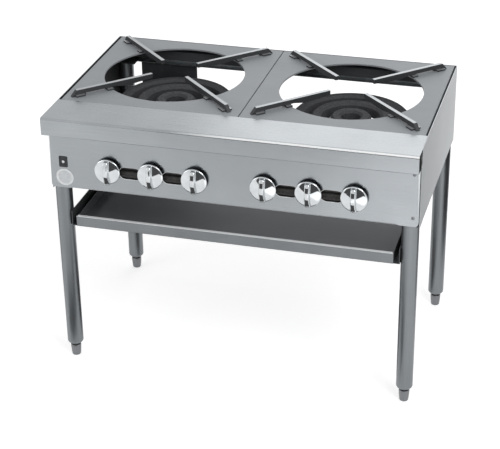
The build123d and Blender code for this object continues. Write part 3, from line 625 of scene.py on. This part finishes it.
leg_clearance = 7 * millimetre
flange_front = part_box("leg_front_right")[1].y + leg_clearance
flange_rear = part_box("leg_rear_right")[0].y - leg_clearance
flange_reach = 14 * millimetre
for side, sign in (("left", -1), ("right", 1)):
    low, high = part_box(f"side_panel_{side}")
    thickness = high.x - low.x
    outer_face = high.x if sign > 0 else low.x
    skin = box_between(f"folded_side_{side}", low, high)
    cut_across([((0, flange_front, 0), (0, 1, 0)), ((0, flange_rear, 0), (0, 1, 0)),
                ((0, 0, low.z + thickness), (0, 0, 1))])
    take_faces(skin, lambda middle, normal: normal.x * sign < -0.9
               and middle.z < low.z + thickness and flange_front < middle.y < flange_rear)
    bpy.ops.mesh.extrude_region_move(
        TRANSFORM_OT_translate={"value": (-sign * flange_reach, 0, 0)})
    round_edges(skin, lambda start, end: max(start.z, end.z) < low.z + close
                and max(abs(start.x - outer_face), abs(end.x - outer_face)) < close
                and min(start.y, end.y) > flange_front - millimetre
                and max(start.y, end.y) < flange_rear + millimetre, 3 * millimetre, 4)
    # The side's lower bend takes the painted highlight finish.
    mark_faces(skin, 1, lambda middle, normal: 0.2 < normal.x * sign < 0.97 and normal.z < -0.2)
    # The inner face of the side is painted dark as shade.
    mark_faces(skin, 2, lambda middle, normal: normal.x * sign < -0.9)
    set_down(skin, "range_body", [side_steel, painted_bend_highlight, inner_shade_steel],
             [f"side_panel_{side}"])

# %% [markdown]
# ## Deck plates
# The deck plates are bent down at the edges and the round opening has a drawn rim, so both turn
# over in a small curve. A bevel modifier would round hidden edges too, so only the outer top edges
# and the ring at the opening are taken.

# %% Deck plates
deck_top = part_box("deck_plate_right")[1].z
opening_radius = 178 * millimetre
touching = 0.1 * millimetre
for side in ("left", "right"):
    low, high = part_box(f"deck_plate_{side}")
    centre = (low + high) / 2
    deck = copy_of_part(f"deck_plate_{side}", f"folded_deck_{side}")

    def outer_bend(start, end):
        """A top edge along one of the plate's four sides."""
        on_top = min(start.z, end.z) > deck_top - touching
        along_x = (min(abs(start.y - low.y), abs(start.y - high.y)) < touching
                   and abs(start.y - end.y) < touching)
        along_y = (min(abs(start.x - low.x), abs(start.x - high.x)) < touching
                   and abs(start.x - end.x) < touching)
        return on_top and (along_x or along_y)

    def rim_edge(start, end):
        """A short top edge on the round opening."""
        on_top = min(start.z, end.z) > deck_top - touching
        reach = [math.hypot(point.x - centre.x, point.y - centre.y) for point in (start, end)]
        return on_top and max(abs(value - opening_radius) for value in reach) < 0.3 * millimetre

    round_edges(deck, outer_bend, 2.2 * millimetre)
    round_edges(deck, rim_edge, 1.5 * millimetre)
    set_down(deck, f"deck_body_{side}", [deck_steel], [f"deck_plate_{side}"])

# %% [markdown]
# ## Grate bars
# The bars are castings, and sand holds no sharp edge at all. So here the bevel modifier is the
# right tool: it finds every sharp edge by its angle.


# %% Grate bars
def soften(piece, width, steps=2, angle=35):
    """Bevel every sharp edge with a modifier and apply it."""
    hold(piece)
    softener = piece.modifiers.new("soft_edges", "BEVEL")
    softener.width = width
    softener.segments = steps
    softener.limit_method = "ANGLE"
    softener.angle_limit = math.radians(angle)
    bpy.ops.object.modifier_apply(modifier=softener.name)


for side in ("left", "right"):
    bars = copy_of_part(f"grate_bars_{side}", f"cast_bars_{side}")
    soften(bars, 1.1 * millimetre)
    set_down(bars, f"deck_body_{side}", [cast_bar_light_and_wear], [f"grate_bars_{side}"])

# %% [markdown]
# ## Knobs
# Each knob is a chromed zinc casting: a domed disc with a rolled rim, a raised grip bar that
# flares into a round tail, and a hollow, unplated back. A profile could be spun, but a disc grown
# ring by ring needs no merging at the pole. The grip is a box that is cut, tapered, raised to a
# curve, flared at its tail and bevelled.


# %% Knob disc
def turned(name, rings, sides):
    """Turn a shape as on a lathe: a disc grows up by rings, each a radius and height in mm."""
    rings = [(radius * millimetre, height * millimetre) for radius, height in rings]
    fresh_start()
    bpy.ops.mesh.primitive_circle_add(vertices=sides, radius=rings[0][0], fill_type="NGON",
                                      location=(0, 0, rings[0][1]))
    piece = bpy.context.object
    piece.name = name
    bpy.ops.object.transform_apply(location=True, rotation=True, scale=True)
    bpy.ops.object.mode_set(mode="EDIT")
    bpy.ops.mesh.select_all(action="SELECT")
    for (radius, height), (next_radius, next_height) in zip(rings, rings[1:]):
        bpy.ops.mesh.extrude_region_move(
            TRANSFORM_OT_translate={"value": (0, 0, next_height - height)})
        bpy.ops.transform.resize(value=(next_radius / radius, next_radius / radius, 1),
                                 center_override=(0, 0, next_height))
    bpy.ops.mesh.select_all(action="SELECT")
    bpy.ops.mesh.normals_make_consistent(inside=False)
    bpy.ops.object.mode_set(mode="OBJECT")
    return piece


disc = turned("knob_disc", [
    (30.6, 0), (32.0, 0.5), (32.5, 1.4), (32.5, 2.4), (32.1, 3.3), (31.2, 4.0), (29.8, 4.5),
    (28.0, 4.9), (25, 5.4), (18, 6.6), (10, 8.0), (5, 8.9), (2, 9.2)], 72)
take_faces(disc, lambda middle, normal: normal.z < -0.9 and middle.z < 0.1 * millimetre)
bpy.ops.mesh.inset(thickness=2 * millimetre)
bpy.ops.mesh.extrude_region_move(TRANSFORM_OT_translate={"value": (0, 0, 1.6 * millimetre)})
bpy.ops.object.mode_set(mode="OBJECT")
# The hollow back takes the painted shade finish.
mark_faces(disc, 1, lambda middle, normal: normal.z < -0.5 and middle.z < 1.8 * millimetre
           and math.hypot(middle.x, middle.y) < 29 * millimetre)


# %% Knob grip
def take_points(piece, wanted):
    """Select the points whose place passes a test, and stay in edit mode."""
    start_marking("VERT")
    for point in piece.data.vertices:
        point.select = wanted(point.co)
    bpy.ops.object.mode_set(mode="EDIT")


grip_tops = {-32.6: 9.8, -26: 11.4, -18: 14.8, -9: 18.3, -2: 19.6, 4: 20.0, 14: 19.2, 23: 17.4,
             30.5: 13.0}                 # height of the grip in mm at each place along it
grip_half_width = 7.2 * millimetre
grip_base, grip_full = 4 * millimetre, 20 * millimetre
grip = box_between("knob_grip", (-grip_half_width, min(grip_tops) * millimetre, grip_base),
                   (grip_half_width, max(grip_tops) * millimetre, grip_full))
cut_across([((0, along * millimetre, 0), (0, 1, 0)) for along in list(grip_tops)[1:-1]])
take_faces(grip, lambda middle, normal: normal.z > 0.9)
bpy.ops.transform.resize(value=(0.8, 1, 1), center_override=(0, 0, grip_full))
for along, top in grip_tops.items():
    take_points(grip, lambda point: abs(point.y - along * millimetre) < touching
                and point.z > 15 * millimetre)
    bpy.ops.transform.translate(value=(0, 0, top * millimetre - grip_full))

# %% Tail and edges of the grip
tail_front = -25 * millimetre
take_points(grip, lambda point: point.y < tail_front)
bpy.ops.transform.resize(value=(1.2, 1, 1),
                         center_override=(0, -29 * millimetre, 8 * millimetre))
bpy.ops.object.mode_set(mode="OBJECT")
round_edges(grip, lambda start, end: min(abs(start.y), abs(end.y)) > 29.5 * millimetre
            and start.y * end.y > 0 and abs(start.z - end.z) > 4 * millimetre, 4.2 * millimetre, 4)
soften(grip, 2.2 * millimetre, 4, 40)
knob_master = joined([disc, grip], "knob_master")
knob_master.data.transform(Matrix.Rotation(math.radians(90), 4, "X"))


# %% Six knobs
def moved_copy(piece, name, place):
    """A copy with its own mesh, shifted to a place."""
    copy = bpy.data.objects.new(name, piece.data.copy())
    bpy.context.scene.collection.objects.link(copy)
    copy.data.transform(Matrix.Translation(place))
    return copy


for number, (knob_x, (_, high)) in enumerate(zip(knob_xs, knob_boxes), start=1):
    knob = moved_copy(knob_master, f"chrome_knob_{number}", (knob_x, high.y, knob_z))
    set_down(knob, f"knob_body_{number}", [knob_chrome, knob_back_shade],
             [f"knob_{number}"], 40)
bpy.data.objects.remove(knob_master)

# %% [markdown]
# ## Legs
# A leg is a drawn tube whose lower end is swaged in to a round shoulder. The leg is a cylinder with
# its lower rim bevelled and its end sunk in, which looks hollow without a second wall inside.

# %% Legs
corners = [(end, side) for end in ("front", "rear") for side in ("left", "right")]
for end, side in corners:
    low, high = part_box(f"leg_{end}_{side}")
    fresh_start()
    bpy.ops.mesh.primitive_cylinder_add(vertices=72, radius=(high.x - low.x) / 2,
                                        depth=high.z - low.z, location=(low + high) / 2)
    leg = bpy.context.object
    leg.name = f"swaged_leg_{end}_{side}"
    bpy.ops.object.transform_apply(location=True, rotation=True, scale=True)
    round_edges(leg, lambda one, other: max(one.z, other.z) < low.z + touching,
                7 * millimetre, 6)
    take_faces(leg, lambda middle, normal: normal.z < -0.95 and middle.z < low.z + touching)
    bpy.ops.mesh.inset(thickness=3.4 * millimetre)
    bpy.ops.mesh.extrude_region_move(TRANSFORM_OT_translate={"value": (0, 0, 4 * millimetre)})
    set_down(leg, "range_body", [leg_steel], [f"leg_{end}_{side}"])

# %% [markdown]
# ## Sleeves and feet
# A threaded sleeve closes each leg, and a plated foot screws into it. A true helix would cost many
# faces and look alike here, so the foot is turned with a ridge for every turn of its thread.

# %% Sleeves in the leg ends
sleeves = []
for end, side in corners:
    low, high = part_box(f"leg_{end}_{side}")
    sleeve = turned(f"sleeve_{end}_{side}", [(11.6, 42.2), (12, 42.6), (12, 62.5), (11.6, 63)], 32)
    sleeve.data.transform(Matrix.Translation(((low.x + high.x) / 2, (low.y + high.y) / 2, 0)))
    sleeves.append(sleeve)
sleeve_set = joined(sleeves, "leg_end_sleeves")
set_down(sleeve_set, "range_body", [frame_steel], ["leg_inserts"])

# %% Feet
foot_rings = [(9.4, 0), (10.6, 0.6), (11.4, 2.4), (12.3, 10), (13.2, 20), (13.5, 26), (13.5, 30),
              (12.8, 31.6), (10.2, 32), (9.4, 32.6), (9.4, 37.4), (8.8, 38)]
thread_start, thread_pitch, thread_turns = 38.4, 2.0, 16
for step in range(thread_turns):
    height = thread_start + step * thread_pitch
    foot_rings += [(5.2, height), (6.0, height + thread_pitch / 2)]
foot_rings += [(6.0, 97.4), (5.4, 98)]
foot_master = turned("foot_master", foot_rings, 40)
for end, side in corners:
    low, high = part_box(f"foot_{end}_{side}")
    foot = moved_copy(foot_master, f"turned_foot_{end}_{side}",
                      ((low.x + high.x) / 2, (low.y + high.y) / 2, 0))
    set_down(foot, f"foot_body_{end}_{side}", [foot_steel],
             [f"foot_{end}_{side}"], 50)
bpy.data.objects.remove(foot_master)

# %% [markdown]
# ## Drip tray
# The tray is folded from thin dull steel, and its front lip is hemmed over. The lip's face is
# painted paler as lit, and the bend above it is painted near white as a highlight. Only the long
# edges at the top and bottom of the lip are bevelled.

# %% Drip tray
tray_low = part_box("drip_tray")[0]
lip_reach = tray_low.y + 3 * millimetre
lip_length = 0.3                         # edges longer than this run along the lip
tray = copy_of_part("drip_tray", "folded_drip_tray")
round_edges(tray, lambda start, end: max(start.y, end.y) < tray_low.y + touching
            and abs(start.z - end.z) < touching and abs(start.x - end.x) > lip_length,
            2.2 * millimetre)
# The lip's face is painted paler as lit, and its top bend takes the painted highlight.
mark_faces(tray, 1, lambda middle, normal: middle.y < lip_reach and normal.y < -0.2)
mark_faces(tray, 2, lambda middle, normal: middle.y < lip_reach and normal.z > 0.3)
set_down(tray, "tray_body", [tray_steel, lit_lip_steel, painted_bend_highlight], ["drip_tray"])

# %% [markdown]
# ## Panel screws
# Two screws with domed, slotted heads hold the panel's right end. A slot goes clean through a
# curved surface, which a boolean does best, so a thin box cuts it.

# %% Panel screws
screw_low, screw_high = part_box("panel_screws")
screw_x = (screw_low.x + screw_high.x) / 2
screw_head = 4 * millimetre
screw = turned("screw_master", [(3.8, 0), (4.0, 0.3), (4.0, 0.8), (3.4, 1.7), (2.3, 2.3),
                                (1.0, 2.5)], 28)
slot_cutter = box_between("slot_cutter", (-0.45 * millimetre, -5 * millimetre, 1.3 * millimetre),
                          (0.45 * millimetre, 5 * millimetre, 4 * millimetre))
hold(screw)
cut = screw.modifiers.new("slot", "BOOLEAN")
cut.object = slot_cutter
bpy.ops.object.modifier_apply(modifier=cut.name)
bpy.data.objects.remove(slot_cutter)
screw.data.transform(Matrix.Rotation(math.radians(90), 4, "X"))
screws = [moved_copy(screw, f"screw_{z:.3f}", (screw_x, panel_low.y, z))
          for z in (screw_low.z + screw_head, screw_high.z - screw_head)]
bpy.data.objects.remove(screw)
screw_pair = joined(screws, "slotted_panel_screws")
set_down(screw_pair, "range_body", [foot_steel], ["panel_screws"])

# %% [markdown]
# ## Blank disc and plate
# A pale disc with a raised edge and a small dark plate with one rivet sit at the panel's left end,
# both blank. The disc and the rivet are turned, and the plate is a thin box with round corners.


# %% Blank disc
def facing_front(piece, place):
    """Tip a turned piece so that it faces the front, and move it to its place."""
    piece.data.transform(Matrix.Rotation(math.radians(90), 4, "X"))
    piece.data.transform(Matrix.Translation(place))


trim_low, trim_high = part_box("blank_plates")
disc_radius = (trim_high.x - trim_low.x) / 2
disc_middle = (trim_low.x + disc_radius, panel_low.y, trim_low.z + disc_radius)
field_radius = 16.5 * millimetre
blank_disc = turned("blank_disc", [(22.3, 0), (22.5, 0.3), (22.3, 0.9), (21.5, 1.2), (18.0, 1.2),
                                   (17.4, 0.9), (17.0, 0.6), (4, 0.6)], 64)
mark_faces(blank_disc, 1, lambda middle, normal: math.hypot(middle.x, middle.y) < field_radius)
facing_front(blank_disc, disc_middle)
set_down(blank_disc, "range_body", [plate_pale, plate_grey], ["blank_plates"])

# %% Blank plate and its rivet
plate_half_width, plate_height = 11 * millimetre, 29 * millimetre
plate_x = disc_middle[0] - 1.5 * millimetre
plate_top = trim_high.z
blank_plate = box_between("blank_dark_plate",
                          (plate_x - plate_half_width, panel_low.y - 0.9 * millimetre,
                           plate_top - plate_height),
                          (plate_x + plate_half_width, panel_low.y, plate_top))
round_edges(blank_plate, lambda start, end: abs(start.y - end.y) > 0.5 * millimetre,
            2.5 * millimetre)
set_down(blank_plate, "range_body", [plate_dark])
rivet = turned("plate_rivet", [(3.4, 0), (3.6, 0.4), (3.0, 1.1), (1.4, 1.5)], 24)
facing_front(rivet, (plate_x, panel_low.y - 0.8 * millimetre, plate_top - plate_height / 2))
set_down(rivet, "range_body", [plate_pale])

# %% [markdown]
# ## Gas fittings
# Valve bodies are brass castings with broken edges, so they are softened as the bars are. The
# regulator's halves are bolted together round the rim, with a plug in the middle of the dome. The
# part has the halves, so only bolts and plug are added.

# %% Valve bodies
valves = copy_of_part("valve_bodies", "cast_valve_bodies")
soften(valves, 1.6 * millimetre)
set_down(valves, "range_body", [valve_brass], ["valve_bodies"])

# %% Regulator bolts and plug
regulator_low, regulator_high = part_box("regulator")
dome_x = (regulator_low.x + regulator_high.x) / 2
dome_y = regulator_low.y + 36 * millimetre
bolt_circle = 31 * millimetre
bolt_count = 8
flange_top = regulator_high.z - 16 * millimetre
bolt = turned("bolt_master", [(3.6, 0), (4.0, 0.3), (4.0, 2.6), (3.4, 3.0)], 6)
fittings = []
for step in range(bolt_count):
    angle = step * 2 * math.pi / bolt_count
    fittings.append(moved_copy(bolt, f"flange_bolt_{step}",
                               (dome_x + bolt_circle * math.cos(angle),
                                dome_y + bolt_circle * math.sin(angle), flange_top)))
bpy.data.objects.remove(bolt)
plug = turned("dome_plug", [(9, -1.2), (9, 0.4), (8.4, 1.0), (4, 1.0)], 6)
plug.data.transform(Matrix.Translation((dome_x, dome_y, regulator_high.z - 1.2 * millimetre)))
regulator_fittings = joined([*fittings, plug], "regulator_bolts_and_plug")
set_down(regulator_fittings, "range_body", [foot_steel])

# %% [markdown]
# ## Floor and world
# The range stands on a white sweep. Brighter lamps would bleach the steel, so floor and world
# glow white only for rays from the camera, from a reflection or through something clear.


# %% Floor
def seen_directly(tree):
    """1 for rays from the camera, a reflection or something clear, and 0 for all others."""
    path = add_node(tree, "ShaderNodeLightPath")
    seen = path.outputs["Is Camera Ray"]
    for ray in ("Is Glossy Ray", "Is Transmission Ray"):
        either = add_node(tree, "ShaderNodeMath", {"operation": "MAXIMUM"},
                          {0: seen, 1: path.outputs[ray]})
        seen = either.outputs[0]
    return seen


fresh_start()
bpy.ops.mesh.primitive_plane_add(size=14)
floor = bpy.context.object
floor.name = "studio_floor"
floor_paper, floor_tree, floor_shader = new_material("white_sweep")
floor_glow = add_node(floor_tree, "ShaderNodeMath", {"operation": "MULTIPLY", 1: 0.62},
                      {0: seen_directly(floor_tree)})
floor_tree.links.new(floor_glow.outputs[0], floor_shader.inputs["Emission Strength"])
floor_shader.inputs["Base Color"].default_value = linear("#dcdcdc")
floor_shader.inputs["Roughness"].default_value = 0.9
floor_shader.inputs["Emission Color"].default_value = linear("#ffffff")
floor.data.materials.append(floor_paper)
print("floor:", floor.name)

# %% World
world_light_level, world_seen_level = 0.45, 1.0
world = bpy.data.worlds.new("white_studio")
bpy.context.scene.world = world
world.use_nodes = True
world.node_tree.nodes.clear()
world_level = add_node(world.node_tree, "ShaderNodeMapRange",
                       {"To Min": world_light_level, "To Max": world_seen_level},
                       {"Value": seen_directly(world.node_tree)})
world_light = add_node(world.node_tree, "ShaderNodeBackground", {"Color": linear("#ffffff")},
                       {"Strength": world_level.outputs["Result"]})
add_node(world.node_tree, "ShaderNodeOutputWorld", links={"Surface": world_light.outputs[0]})
print("world:", world.name)

# %% [markdown]
# ## Cards
# Polished metal shows its form only by what it reflects, so a studio puts up black and white cards
# just outside the picture. Here they are planes that only glossy rays see, so they throw no shadow.

# %% Cards that only reflections see
card_black, _, black_shader = new_material("black_card")
black_shader.inputs["Base Color"].default_value = linear("#101112")
black_shader.inputs["Roughness"].default_value = 0.9
black_shader.inputs["Specular IOR Level"].default_value = 0.0
black_shader.inputs["Emission Color"].default_value = linear("#ffffff")
black_shader.inputs["Emission Strength"].default_value = 0.09   # a lit card is never quite black
# A card that glows for reflections only: a painted reflection.
glow_card, _, white_shader = new_material("painted_reflection_card")
white_shader.inputs["Base Color"].default_value = linear("#000000")
white_shader.inputs["Emission Color"].default_value = linear("#ffffff")
white_shader.inputs["Emission Strength"].default_value = 1.7


def studio_card(name, corners, paper):
    """A flat card at four corners."""
    fresh_start()
    bpy.ops.mesh.primitive_plane_add(size=1)
    card = bpy.context.object
    card.name = name
    for point, corner in zip(card.data.vertices, corners):
        point.co = corner
    card.data.materials.append(paper)
    card.visible_camera = False
    card.visible_diffuse = False
    card.visible_shadow = False
    card.visible_transmission = False
    print(card.name, "is", paper.name)


def upright_card(name, start, end, height):
    """A black card that stands on the floor between two places."""
    studio_card(name, [(*start, 0), (*end, 0), (*start, height), (*end, height)], card_black)


def floor_card(name, low, high, paper):
    """A card that lies just above the floor between two corners."""
    lift = 2 * millimetre
    studio_card(name, [(low[0], low[1], lift), (high[0], low[1], lift),
                       (low[0], high[1], lift), (high[0], high[1], lift)], paper)


# %% Place the cards
upright_card("card_front", (-0.75, -2.05), (0.85, -2.05), 0.8)
upright_card("card_right", (0.78, -0.05), (0.78, 0.65), 0.75)
upright_card("card_left", (-0.78, -0.10), (-0.78, 0.35), 0.75)
# These two black cards on the floor are the range's shadow, painted where reflections see the floor
# under and before it.
floor_card("card_painted_shadow_under", (-0.36, -0.14), (0.36, 0.22), card_black)
floor_card("card_painted_shadow_before", (-0.60, -0.62), (0.32, -0.34), card_black)
# A glowing card that only reflections see: a painted reflection that brightens the panel's right
# part.
floor_card("card_painted_reflection", (0.02, -2.0), (1.2, -1.0), glow_card)

# %% [markdown]
# ## Lamps
# Small lamps would throw hard shadows that look like dents. So three soft boxes light the range: a
# key from the front right, a wide one behind that skims the ledge's top, and a weak fill.


# %% Lamps
def soft_lamp(name, place, target, size, power):
    """A square soft box that looks at a point."""
    lamp = bpy.data.lights.new(name, "AREA")
    lamp.size = size
    lamp.energy = power
    holder = bpy.data.objects.new(name, lamp)
    bpy.context.scene.collection.objects.link(holder)
    holder.location = place
    aim = Vector(target) - Vector(place)
    holder.rotation_euler = aim.to_track_quat("-Z", "Y").to_euler()
    print(name, "has", power, "watts")


range_middle = (0, 0, 0.5)
soft_lamp("key_box", (2.2, -2.2, 3.0), range_middle, 1.8, 60)
soft_lamp("back_box", (0.1, 2.9, 2.2), (0.1, -0.2, 0.7), 2.2, 13.5)
soft_lamp("fill_box", (-3.0, -2.2, 1.8), range_middle, 2.0, 20)

# %% [markdown]
# ## View transform
# The standard view transform is used.

# %% View transform
bpy.context.scene.view_settings.view_transform = "Standard"
